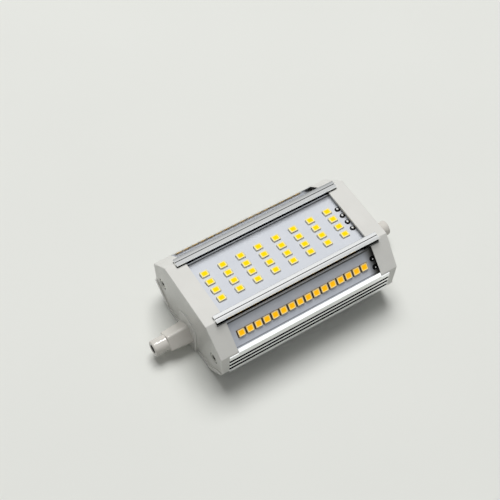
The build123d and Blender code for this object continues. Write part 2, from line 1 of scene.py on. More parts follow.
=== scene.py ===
"""Dress the double-ended linear LED lamp: its finishes, its small visible detail, a floor, soft light and a camera.

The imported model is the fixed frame. X runs along the lamp, Y across it and Z up. Sizes in the classes are in
millimetres and become metres where a mesh is made.
"""
import logging
from collections.abc import Callable
from dataclasses import dataclass
from enum import Enum
from functools import reduce
from math import cos, radians, sin

import bmesh
import bpy
import numpy as np
from mathutils import Matrix, Vector


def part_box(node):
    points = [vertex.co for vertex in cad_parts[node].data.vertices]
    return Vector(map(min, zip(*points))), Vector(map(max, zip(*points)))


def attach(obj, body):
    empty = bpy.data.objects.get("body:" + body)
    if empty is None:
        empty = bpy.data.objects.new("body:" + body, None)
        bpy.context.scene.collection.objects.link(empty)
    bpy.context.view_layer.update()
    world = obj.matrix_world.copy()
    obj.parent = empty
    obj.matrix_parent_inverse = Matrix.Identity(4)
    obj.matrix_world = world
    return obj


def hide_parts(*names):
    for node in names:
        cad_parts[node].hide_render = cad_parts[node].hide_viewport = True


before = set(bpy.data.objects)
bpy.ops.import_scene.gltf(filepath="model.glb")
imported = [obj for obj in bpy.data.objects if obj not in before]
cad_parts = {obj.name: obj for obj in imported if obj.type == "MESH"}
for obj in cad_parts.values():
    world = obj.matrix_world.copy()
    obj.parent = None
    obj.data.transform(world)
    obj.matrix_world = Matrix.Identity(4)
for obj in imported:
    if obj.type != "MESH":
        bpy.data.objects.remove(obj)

LOG = logging.getLogger("lamp")
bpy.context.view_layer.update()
MM = 0.001
# Edges that turn by more than the first are shaded sharp; on copies of CAD meshes, those over the second are rounded
SHARP_DEG = 38
ROUNDED_DEG = 40
# When a CAD mesh is merged, points closer than this are one, and faces that turn by less are one flat face
MERGE_MM = 0.002
FLAT_DEG = 0.6
# A face looks along an axis where its normal's share of that axis is above this
FACING = 0.9
# Middle of the LED rows along the lamp, and the LEDs' pitches
LED_MIDDLE = -0.5
TOP_PITCH = (8.5, 4.36)
SLOPE_PITCH = 3.95
# Points on each rounded corner of an LED package
CORNER_STEPS = 4
# The attribute that finishes read for a second tone
DEPTH = "depth"
# Light Path outputs of the rays by which polished surfaces see
POLISHED_RAYS = ("Is Glossy Ray", "Is Transmission Ray")

Socket = bpy.types.NodeSocket
Array = np.ndarray
Pair = tuple[float, float]
Triple = tuple[float, float, float]


class Side(Enum):
    """The three faces of the lamp that carry LEDs."""

    TOP = "top"
    FRONT = "front"
    REAR = "rear"

    @property
    def sign(self) -> int:
        """The sign of the face's Y; 0 on top."""
        return {"top": 0, "front": -1, "rear": 1}[self.value]


class End(Enum):
    """The two ends of the lamp, with the sign of their X."""

    LEFT = -1
    RIGHT = 1

    @property
    def word(self) -> str:
        """The end's name as the nodes spell it."""
        return self.name.lower()


class Task(Enum):
    """What a studio lamp is there for."""

    LIGHT = "lights the surfaces, with no hot spot in the metal"
    MIRRORED = "a bright card that only polished surfaces show"


def linear(colour: str) -> tuple[float, float, float, float]:
    """Turn an sRGB hex colour into linear red, green, blue and alpha.

    Args:
        colour: Six hex digits with a leading hash.

    Returns:
        The linear colour, with alpha 1.
    """
    srgb = np.array([int(colour[i:i + 2], 16) for i in (1, 3, 5)]) / 255
    value = np.where(srgb <= 0.04045, srgb / 12.92, ((srgb + 0.055) / 1.055) ** 2.4)
    return (*(float(v) for v in value), 1.0)


@dataclass
class Nodes:
    """A node tree that is being built."""

    tree: bpy.types.NodeTree

    def add(self, kind: str, inputs: dict | None = None, out: int | str = 0, **settings: object) -> Socket | None:
        """Add one node, with its settings, its constants and its links.

        Args:
            kind: The node's type name.
            inputs: Values by input name or number; an output socket is linked instead of set.
            out: The output that is wanted, where the node has any.
            **settings: Attributes of the node.

        Returns:
            That output.
        """
        node = self.tree.nodes.new(kind)
        for key, value in settings.items():
            setattr(node, key, value)
        for key, value in (inputs or {}).items():
            if isinstance(value, Socket):
                self.tree.links.new(value, node.inputs[key])
            else:
                node.inputs[key].default_value = value
        return node.outputs[out] if len(node.outputs) else None

    def mix(self, share: Socket, first: Socket | str, second: Socket | str) -> Socket:
        """Mix two colours, each an output or sRGB hex, by the share of the second one."""
        first, second = (linear(colour) if isinstance(colour, str) else colour for colour in (first, second))
        return self.add("ShaderNodeMix", {0: share, 6: first, 7: second}, 2, data_type="RGBA")

    def ramp(self, value: Socket, stops: dict[float, str]) -> Socket:
        """Lay colours along a value.

        Args:
            value: The value that picks the colour.
            stops: Colours, sRGB hex, by the values where they stand, in rising order.

        Returns:
            The colour.
        """
        colour = self.add("ShaderNodeValToRGB", {0: value})
        elements = colour.node.color_ramp.elements
        for number, (position, stop) in enumerate(stops.items()):
            element = elements[number] if number < len(elements) else elements.new(position)
            element.position = position
            element.color = linear(stop)
        return colour

    def rise(self, place: Socket, start_mm: float, end_mm: float, most: float = 1.0) -> Socket:
        """Rise smoothly from 0 at one place to the most at another."""
        ends = {"Value": place, "From Min": start_mm * MM, "From Max": end_mm * MM, "To Max": most}
        return self.add("ShaderNodeMapRange", ends, interpolation_type="SMOOTHSTEP")

    def noise(self, place: Socket, width_mm: float, detail: float) -> Socket:
        """Lay a noise of some width and detail over the places."""
        return self.add("ShaderNodeTexNoise", {"Vector": place, "Scale": 1 / (width_mm * MM), "Detail": detail})

    def axis(self, place: Socket, name: str) -> Socket:
        """Pick one coordinate of the places."""
        return self.add("ShaderNodeSeparateXYZ", {0: place}, name)

    def math(self, operation: str, *values: Socket | float) -> Socket:
        """Work out one value from others."""
        return self.add("ShaderNodeMath", dict(enumerate(values)), operation=operation)

    def depth(self) -> Socket:
        """Read the mesh's depth attribute."""
        return self.add("ShaderNodeAttribute", None, "Fac", attribute_name=DEPTH)

    def rays(self, *kinds: str) -> Socket:
        """Give 1 for some kinds of rays and 0 for others: the greatest of their Light Path outputs."""
        paths = self.add("ShaderNodeLightPath").node.outputs
        return reduce(lambda share, kind: self.math("MAXIMUM", share, paths[kind]), kinds[1:], paths[kinds[0]])


@dataclass(frozen=True)
class Finish:
    """A finish with a slow drift of tone, a fine grain in its gloss and a fine relief.

    Attributes:
        name: The real material and how its surface was made.
        light, dark: The two colours, sRGB hex.
        ior: Index of refraction; a metal keeps the default.
        grain_mm, drift_mm: Widths of the fine grain and of the slow drift of tone.
        drawn_out: How many times longer the grain is along X than it is wide.
        specular: Share of the mirrored light that the index gives; below 0.5 where grains break the surface up.
    """

    name: str
    light: str
    dark: str
    roughness: Pair
    metallic: float = 0.0
    ior: float = 1.5
    grain_mm: float = 0.4
    drift_mm: float = 9.0
    relief_mm: float = 0.01
    drawn_out: float = 1.0
    specular: float = 0.5

    def colour(self, nodes: Nodes, place: Socket) -> Socket:
        """Mix the two colours by the slow drift over the places."""
        return nodes.ramp(nodes.noise(place, self.drift_mm, 3.0), {0.3: self.dark, 0.7: self.light})

    def relief(self, nodes: Nodes, _place: Socket, grain: Socket) -> Socket:
        """Turn the fine grain's height, 0 to 1, into a bumped normal."""
        return nodes.add("ShaderNodeBump", {"Strength": 1.0, "Distance": self.relief_mm * MM, "Height": grain})

    def material(self) -> bpy.types.Material:
        """Build the material, or return it where it is built already."""
        found = bpy.data.materials.get(self.name)
        if found:
            return found
        material = bpy.data.materials.new(self.name)
        material.use_nodes = True
        material.node_tree.nodes.clear()
        nodes = Nodes(material.node_tree)
        place = nodes.add("ShaderNodeTexCoord", None, "Object")
        drawn = nodes.add("ShaderNodeMapping", {"Vector": place, "Scale": (1 / self.drawn_out, 1.0, 1.0)})
        grain = nodes.noise(drawn, self.grain_mm, 4.0)
        low, high = self.roughness
        rough = {"Value": grain, "From Min": 0.25, "From Max": 0.75, "To Min": low, "To Max": high}
        shader = nodes.add("ShaderNodeBsdfPrincipled", {
            "Base Color": self.colour(nodes, drawn), "Roughness": nodes.add("ShaderNodeMapRange", rough),
            "Metallic": self.metallic, "IOR": self.ior, "Specular IOR Level": self.specular,
            "Normal": self.relief(nodes, place, grain),
        })
        nodes.add("ShaderNodeOutputMaterial", {"Surface": shader})
        return material


@dataclass(frozen=True)
class PrintedBoard(Finish):
    """Solder mask over copper areas, whose etched gaps show as faint sunk lines.

    Attributes:
        cell_mm: Length and width of one copper area.
        centre_mm: Where the middle of the copper pattern lies on X and across the board.
        edge, strip_mm: Colour of the edge strips, and how far from the board's edge they begin and are full; on the
            LED
        boards they are painted shade under the ridges, on the driver board the uncoated core.
        copper_mm: Height of the copper, and so the lines' depth.
        painted_shadow, painted_shadow_share: Colour of the far end cap's shadow, painted on the slope boards, and the
        share of the mask that it covers.
        painted_shadow_mm: Where along the lamp the painted shadow begins, and where it is full; none by default.
    """

    tilt_deg: float = 0.0
    cell_mm: Pair = TOP_PITCH
    centre_mm: Pair = (LED_MIDDLE, 0.0)
    half_width_mm: float = 14.3
    # Dark grey of the edge strips: painted shade under the ridges on the LED boards
    edge: str = "#3a3b3a"
    strip_mm: Pair = (1.15, 0.65)
    gap_mm: float = 0.12
    copper_mm: float = 0.035
    # Dark olive of the far end cap's painted shadow
    painted_shadow: str = "#2d2c22"
    painted_shadow_mm: Pair | None = None
    painted_shadow_share: float = 0.94

    def laid(self, nodes: Nodes, place: Socket) -> Socket:
        """Turn places in the lamp's frame into places on the board, half a copper area off its middle."""
        off = ((cell / 2 - middle) * MM for cell, middle in zip(self.cell_mm, self.centre_mm))
        turn = {"Vector": place, "Rotation": (radians(self.tilt_deg), 0.0, 0.0), "Location": (*off, 0.0)}
        return nodes.add("ShaderNodeMapping", turn)

    def colour(self, nodes: Nodes, place: Socket) -> Socket:
        """Leave a strip along both long edges, painted shade under the ridges on the LED boards and the uncoated core
        on the driver board, and add the painted shadow.

        Args:
            nodes: The material's nodes.
            place: The pattern's coordinates, in metres.

        Returns:
            The colour.
        """
        across = nodes.axis(self.laid(nodes, place), "Y")
        way = nodes.math("ABSOLUTE", nodes.math("SUBTRACT", across, self.cell_mm[1] / 2 * MM))
        # On the LED boards these dark edge strips are painted shade under the ridges
        bare_or_shaded = nodes.rise(way, *(self.half_width_mm - strip for strip in self.strip_mm))
        board = nodes.mix(bare_or_shaded, super().colour(nodes, place), self.edge)
        if not self.painted_shadow_mm:
            return board
        # The far end cap's shadow, painted on towards the far end of the slope boards
        return nodes.mix(nodes.rise(nodes.axis(place, "X"), *self.painted_shadow_mm, self.painted_shadow_share), board, self.painted_shadow)

    def relief(self, nodes: Nodes, place: Socket, grain: Socket) -> Socket:
        """Add the sunk lines between the copper areas to the grain of the mask.

        Args:
            nodes: The material's nodes.
            place: The pattern's coordinates, in metres.
            grain: The fine grain's height, 0 to 1.

        Returns:
            The normal.
        """
        gaps = nodes.add("ShaderNodeTexBrick", {
            "Vector": self.laid(nodes, place), "Scale": 1.0, "Mortar Size": self.gap_mm * MM, "Mortar Smooth": 0.6,
            "Brick Width": self.cell_mm[0] * MM, "Row Height": self.cell_mm[1] * MM,
        }, "Fac", offset=0.0)
        fine = super().relief(nodes, place, grain)
        lines = {"Strength": 0.6, "Distance": self.copper_mm * MM, "Height": gaps, "Normal": fine}
        return nodes.add("ShaderNodeBump", lines, invert=True)


@dataclass(frozen=True)
class PhosphorFill(Finish):
    """Silicone filled with phosphor: strong yellow in the middle, paler where it thins out at the wall.

    Attributes:
        edge: Colour at the wall, sRGB hex.
        painted_glow: Strength of a painted glow in the fill's own colour, the same whatever light falls on it.
    """

    edge: str = "#f6e48a"
    painted_glow: float = 0.1

    def colour(self, nodes: Nodes, _place: Socket) -> Socket:
        """Lay the colours from the wall to the middle by the fill's own depth attribute."""
        return nodes.ramp(nodes.depth(), {0.0: self.edge, 0.3: self.light, 1.0: self.dark})

    def material(self) -> bpy.types.Material:
        """Build the material and add a painted glow in its own colour."""
        material = super().material()
        tree = material.node_tree
        shader = next(node for node in tree.nodes if node.type == "BSDF_PRINCIPLED")
        tree.links.new(shader.inputs["Base Color"].links[0].from_socket, shader.inputs["Emission Color"])
        shader.inputs["Emission Strength"].default_value = self.painted_glow
        return material


@dataclass(frozen=True)
class PaintedShade(Finish):
    """A finish that goes over to a second colour where the mesh's depth attribute rises to 1: painted shade, and on
    solder a painted dark reflection.

    Attributes:
        deep: The second colour, sRGB hex, which paints the shade.
        full_at: Depth from which the second colour stands alone.
    """

    deep: str = "#808080"
    full_at: float = 1.0

    def colour(self, nodes: Nodes, place: Socket) -> Socket:
        """Mix the drifting colour with the second one by depth."""
        share = nodes.add("ShaderNodeMapRange", {"Value": nodes.depth(), "From Max": self.full_at})
        return nodes.mix(share, super().colour(nodes, place), self.deep)


@dataclass(frozen=True)
class StudioPaper(Finish):
    """Paper that the eye and polished surfaces see pale, and that throws less light back on what stands on it.

    Attributes:
        bounce: Colour that the light thrown back takes, sRGB hex.
    """

    bounce: str = "#d2d3cf"

    def colour(self, nodes: Nodes, place: Socket) -> Socket:
        """Mix the drifting colour with the bounce colour by the kind of ray."""
        return nodes.mix(nodes.rays("Is Camera Ray", *POLISHED_RAYS), self.bounce, super().colour(nodes, place))


def slope_mask(side: Side) -> PrintedBoard:
    """The mask of a slope board, a little bluer than the top's as painted shade, with the far end cap's shadow
    painted over its far end.
    """
    return PrintedBoard(
        f"{side.value}_white_solder_mask", "#d3d7e0", "#cbd0da", (0.32, 0.42), ior=1.52, grain_mm=0.6,
        tilt_deg=45.0 * side.sign, cell_mm=(SLOPE_PITCH, 5.2), centre_mm=(LED_MIDDLE, -4.03 * side.sign),
        half_width_mm=6.03, painted_shadow_mm=(29.8, 34.2),
    )


# Extruded aluminium, etched and clear anodised: bright satin metal with fine lines along the lamp, and near-black
# painted shade in the slots and grooves
ALUMINIUM = PaintedShade(
    "extruded_anodised_aluminium", "#f6f7f7", "#e9ebeb", (0.16, 0.26), metallic=1.0,
    grain_mm=0.35, drift_mm=1.6, relief_mm=0.006, drawn_out=80.0, deep="#161717", full_at=0.15,
)
# White solder mask on a metal-core board: cool white, slightly glossy
TOP_MASK = PrintedBoard("top_white_solder_mask", "#d6d9df", "#d0d4db", (0.32, 0.42), ior=1.52, grain_mm=0.6)
FRONT_MASK = slope_mask(Side.FRONT)
REAR_MASK = slope_mask(Side.REAR)
# Moulded white polyamide of the LED packages: matt, a little creamy; their outer walls are painted darker as shade,
# brown in the narrow gaps on the slopes
TOP_LED_BODY = PaintedShade(
    "moulded_white_led_package", "#f2e9c0", "#e8dcaa", (0.45, 0.6), ior=1.53, grain_mm=0.25, drift_mm=2.0,
    deep="#d6cfb8",
)
SLOPE_LED_BODY = PaintedShade(
    "moulded_cream_led_package", "#f6e8ba", "#eedca6", (0.45, 0.6), ior=1.53, grain_mm=0.25, drift_mm=2.0,
    deep="#86682f",
)
# Phosphor in clear silicone: lemon yellow on top, amber on the slopes, both with a painted glow, stronger on the
# slopes
TOP_PHOSPHOR = PhosphorFill(
    "cool_white_phosphor_silicone", "#ffdf10", "#ffd500", (0.34, 0.46), ior=1.43, grain_mm=0.2, specular=0.2,
    edge="#fbf0b4", painted_glow=0.08,
)
SLOPE_PHOSPHOR = PhosphorFill(
    "warm_white_phosphor_silicone", "#ffc00a", "#ffb600", (0.34, 0.46), ior=1.43, grain_mm=0.2, specular=0.2,
    edge="#f8dd90", painted_glow=0.42,
)
# Glass-filled moulded plastic of the end caps: pale warm grey, satin, with a fine spark-eroded grain, and shade
# painted in the narrow gaps round the screw heads and on the end walls of the slope tongues
CAP_PLASTIC = PaintedShade(
    "moulded_pale_grey_cap_plastic", "#dfded9", "#d8d7d2", (0.26, 0.36), ior=1.53,
    grain_mm=0.35, drift_mm=14.0, relief_mm=0.012, deep="#33312d", full_at=0.4,
)
# Smoother plastic of the contact base, with shade painted into its recess
NOSE_PLASTIC = PaintedShade(
    "moulded_pale_grey_base_plastic", "#d6d2cb", "#cfcbc4", (0.1, 0.18), ior=1.53,
    grain_mm=0.35, drift_mm=14.0, relief_mm=0.004, deep="#2b2824",
)
# Zinc-plated steel of the screws: grey metal with a slight bloom, and shade painted round the cross and under the
# heads
SCREW_STEEL = PaintedShade(
    "zinc_plated_screw_steel", "#ecebe4", "#d2d1ca", (0.25, 0.4), metallic=1.0, grain_mm=0.2, drift_mm=0.8,
    deep="#141412",
)
# Nickel-plated contact, coloured dark all over as painted shade of its recess
CONTACT = Finish(
    "nickel_contact_painted_dark", "#6b6558", "#454037", (0.3, 0.45), metallic=1.0, grain_mm=0.2, drift_mm=1.2,
)
# Tin solder, cooled bright: mirror-like crowns, and sides painted near black as a dark reflection
SOLDER = PaintedShade(
    "cooled_tin_solder", "#fdfdfc", "#f0f1f0", (0.05, 0.14), metallic=1.0, grain_mm=0.3, drift_mm=0.9,
    deep="#141414",
)
# Reflowed solder at the ends of the LED packages: dull grey
REFLOWED_SOLDER = Finish(
    "reflowed_tin_solder", "#c2c3c0", "#a5a6a4", (0.35, 0.5), metallic=1.0, grain_mm=0.3, drift_mm=0.9,
)
# The same solder at the slope packages' ends, dark brown as painted shade in the narrow gaps and under the lower
# edges
SOLDER_WITH_PAINTED_SHADE = Finish("solder_with_painted_gap_shade", "#5c431f", "#3c2b13", (0.3, 0.5), grain_mm=0.3, drift_mm=0.9)
# Insulation of the leads
WHITE_LEAD = Finish("white_silicone_lead", "#e2e1da", "#d4d3ca", (0.4, 0.55), ior=1.42)
RED_LEAD = Finish("red_pvc_lead", "#a82a24", "#8f211c", (0.35, 0.5), ior=1.53)
# Parts of the driver
GREEN_MASK = PrintedBoard(
    "green_solder_mask", "#2a6b40", "#215a35", (0.3, 0.42), ior=1.52, cell_mm=(6.0, 3.0), half_width_mm=13.0,
    edge="#9a8f62",
)
BLUE_COAT = Finish("dipped_blue_epoxy", "#3560a0", "#2a4f88", (0.22, 0.36), ior=1.55, drift_mm=2.0)
RED_COAT = Finish("dipped_red_epoxy", "#96372a", "#7e2c20", (0.22, 0.36), ior=1.55, drift_mm=2.0)
BLACK_PACKAGE = Finish("moulded_black_epoxy", "#1d1d1e", "#141415", (0.5, 0.65), ior=1.55, grain_mm=0.2)
CAN_SLEEVE = Finish("shrunk_dark_sleeve", "#24272f", "#1b1d24", (0.25, 0.36), ior=1.53, drift_mm=3.0)
FERRITE = Finish("sintered_ferrite", "#37373a", "#29292c", (0.5, 0.68), ior=2.0, grain_mm=0.3, relief_mm=0.02)
TAPE = Finish("yellow_polyester_tape", "#dcb93a", "#c8a52c", (0.2, 0.34), ior=1.6, drift_mm=2.0)


def grid_faces(rows: int, columns: int, closed_rows: bool = False) -> Array:
    """Number the quads of a grid of points whose columns run round in a closed ring.

    Point (row, column) has number row * columns + column, and each quad joins two rows and two columns.

    Args:
        rows: Rings of points.
        columns: Points in each ring.
        closed_rows: Whether the last ring joins the first one.

    Returns:
        Quads as an (n, 4) array of point numbers.
    """
    row = np.arange(rows if closed_rows else rows - 1)[:, None]
    column = np.arange(columns)[None, :]
    after = (row + 1) % rows
    beside = (column + 1) % columns
    corners = (row * columns + column, row * columns + beside, after * columns + beside, after * columns + column)
    return np.stack(np.broadcast_arrays(*corners), axis=-1).reshape(-1, 4)


def rounded_rectangle(half_x: Array, half_y: Array, radius: Array) -> Array:
    """Work out rounded rectangles, one for each entry of the size arrays.

    Each corner is a quarter circle round a centre that lies one radius inside the corner, and straight sides join
    the quarters.

    Args:
        half_x: Half lengths.
        half_y: Half widths.
        radius: Corner radii.

    Returns:
        Points as an (outlines, 4 * CORNER_STEPS, 2) array, counter-clockwise.
    """
    turn = (np.arange(4)[:, None] * 90 + np.linspace(0, 90, CORNER_STEPS)[None, :]).ravel()
    sign_x = np.repeat([1, -1, -1, 1], CORNER_STEPS)
    sign_y = np.repeat([1, 1, -1, -1], CORNER_STEPS)
    half_x, half_y, radius = (np.asarray(size, float)[:, None] for size in (half_x, half_y, radius))
    x = sign_x * (half_x - radius) + radius * np.cos(np.radians(turn))
    y = sign_y * (half_y - radius) + radius * np.sin(np.radians(turn))
    return np.stack([x, y], axis=-1)


def stacked(outlines: Array, heights: Array) -> Array:
    """Lift flat outlines, (rings, points, 2), to their heights, (rings,), as rings of 3-D points."""
    rise = np.broadcast_to(heights[:, None, None], (*outlines.shape[:2], 1))
    return np.concatenate([outlines, rise], axis=-1)


def shade_smooth(mesh: bpy.types.Mesh) -> None:
    """Shade a mesh smooth but for its sharp edges."""
    mesh.polygons.foreach_set("use_smooth", np.ones(len(mesh.polygons), bool))
    mesh.set_sharp_from_angle(angle=radians(SHARP_DEG))


def ride_on_lamp(mesh: bpy.types.Mesh, stands_for: str | None) -> bpy.types.Object:
    """Make a mesh a piece that rides on the lamp.

    Args:
        mesh: The piece's mesh, with the piece's name.
        stands_for: The CAD node that the piece replaces, if any.

    Returns:
        The new object.
    """
    piece = bpy.data.objects.new(mesh.name, mesh)
    bpy.context.scene.collection.objects.link(piece)
    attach(piece, "root")
    if stands_for:
        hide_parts(stands_for)
    LOG.info("%s: %d faces", mesh.name, len(mesh.polygons))
    return piece


def add_piece(
    name: str, points_mm: Array, faces: list[Array], finish: Finish,
    stands_for: str | None = None, depth: Array | None = None,
) -> None:
    """Make a smooth-shaded mesh object that rides on the lamp.

    Args:
        name: The piece's name.
        points_mm: Its points in the lamp's frame, (n, 3).
        faces: Arrays of faces, by point number.
        finish: Its finish.
        stands_for: The CAD node that the piece replaces.
        depth: A value for each point, kept as the depth attribute.
    """
    mesh = bpy.data.meshes.new(name)
    mesh.from_pydata((points_mm * MM).tolist(), [], [face for part in faces for face in part.tolist()])
    shade_smooth(mesh)
    if depth is not None:
        mesh.attributes.new(DEPTH, "FLOAT", "POINT").data.foreach_set("value", depth.astype(np.float32))
    mesh.materials.append(finish.material())
    mesh.validate()
    mesh.update()
    ride_on_lamp(mesh, stands_for)


def add_row(
    name: str, rings: Array, places: Array, finish: Finish,
    stands_for: str | None = None, tone: Array | None = None, flipped: bool = False,
) -> None:
    """Set one closed surface at many places: each place's matrix is applied to all its points.

    The surface runs from ring to ring, and a flat face closes the first and the last one.

    Args:
        name, finish, stands_for: As for add_piece.
        rings: Points of the surface, (rings, points, 3).
        places: Places as (k, 4, 4) matrices.
        tone: The depth attribute of each ring.
        flipped: Whether the rings run so that the faces have to be turned round.
    """
    count, columns = rings.shape[:2]
    first = np.arange(columns)[None, ::-1]
    last = (np.arange(columns) + columns * (count - 1))[None]
    faces = [part[:, ::-1] if flipped else part for part in (grid_faces(count, columns), first, last)]
    points = rings.reshape(-1, 3)
    placed = np.einsum("kij,nj->kni", places[:, :3, :3], points) + places[:, None, :3, 3]
    offset = (np.arange(len(places)) * len(points))[:, None, None]
    faces = [(part[None] + offset).reshape(-1, part.shape[1]) for part in faces]
    depth = None if tone is None else np.tile(np.repeat(tone, columns), len(places))
    add_piece(name, placed.reshape(-1, 3), faces, finish, stands_for, depth)


def dress(node: str, finish: Finish) -> None:
    """Give a CAD node its finish.

    Args:
        node: The CAD node.
        finish: The finish.
    """
    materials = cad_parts[node].data.materials
    materials.clear()
    materials.append(finish.material())
    LOG.info("%s: %s", node, finish.name)


def softened_copy(
    node: str, name: str, finish: Finish, edge_mm: float, depth: Callable[[Array, Array], Array],
) -> None:
    """Copy a CAD node and round its edges, as a mould or a die does.

    The loose triangles are merged, flat neighbours are joined, and a Bevel modifier rounds every clear edge. Shading
    follows the large faces, so flat ones stay flat beside their roundings.

    Args:
        node: The CAD node.
        name: The copy's name.
        finish: Its finish.
        edge_mm: Width of the rounding.
        depth: Gives the depth attribute at the faces' corners, from their points and the faces' normals.
    """
    mesh = bpy.data.meshes.new(name)
    shape = bmesh.new()
    shape.from_mesh(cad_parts[node].data)
    bmesh.ops.remove_doubles(shape, verts=shape.verts, dist=MERGE_MM * MM)
    bmesh.ops.dissolve_limit(shape, angle_limit=radians(FLAT_DEG), verts=shape.verts, edges=shape.edges)
    shape.to_mesh(mesh)
    shape.free()
    mesh.materials.clear()
    mesh.materials.append(finish.material())
    shade_smooth(mesh)
    corners = [(mesh.vertices[i].co, face.normal) for face in mesh.polygons for i in face.vertices]
    points, normals = (np.array(vectors, float) for vectors in zip(*corners))
    values = depth(points / MM, normals).astype(np.float32)
    mesh.attributes.new(DEPTH, "FLOAT", "CORNER").data.foreach_set("value", values)
    piece = ride_on_lamp(mesh, node)
    bevel = piece.modifiers.new("rounded edges", "BEVEL")
    bevel.width = edge_mm * MM
    bevel.segments = 2
    bevel.limit_method = "ANGLE"
    bevel.angle_limit = radians(ROUNDED_DEG)
    bevel.use_clamp_overlap = True
    bevel.harden_normals = True
    even = piece.modifiers.new("flat faces shaded flat", "WEIGHTED_NORMAL")
    even.mode = "FACE_AREA"
    even.weight = 100
    even.keep_sharp = True


@dataclass
class Faces:
    """Where the boards lie: the height of the top one's face, and the middles of the slope ones' faces."""

    top_z: float = 31.6
    slope_y: float = 20.898
    slope_z: float = 26.598
    slope_deg: float = 45.0

    def grid(
        self, side: Side, middle: Pair, pitch: Pair, count: tuple[int, int],
    ) -> Array:
        """Return places in rows and columns on a board: x along the lamp, y across the board and z out of it.

        Args:
            side: Which board.
            middle: Middle of the places, along and across the board.
            pitch: Steps along and across it.
            count: Places along and across it.

        Returns:
            Places as (n, 4, 4) matrices.
        """
        spread = (m + p * (np.arange(n) - (n - 1) / 2) for m, p, n in zip(middle, pitch, count))
        x, y = (values.ravel() for values in np.meshgrid(*spread, indexing="ij"))
        local = np.tile(np.eye(4), (len(x), 1, 1))
        local[:, 0, 3], local[:, 1, 3] = x, y
        height = self.top_z if side is Side.TOP else self.slope_z
        turn = Matrix.Rotation(radians(-side.sign * self.slope_deg), 4, "X")
        plane = Matrix.Translation((0, side.sign * self.slope_y, height)) @ turn
        return np.array(plane) @ local


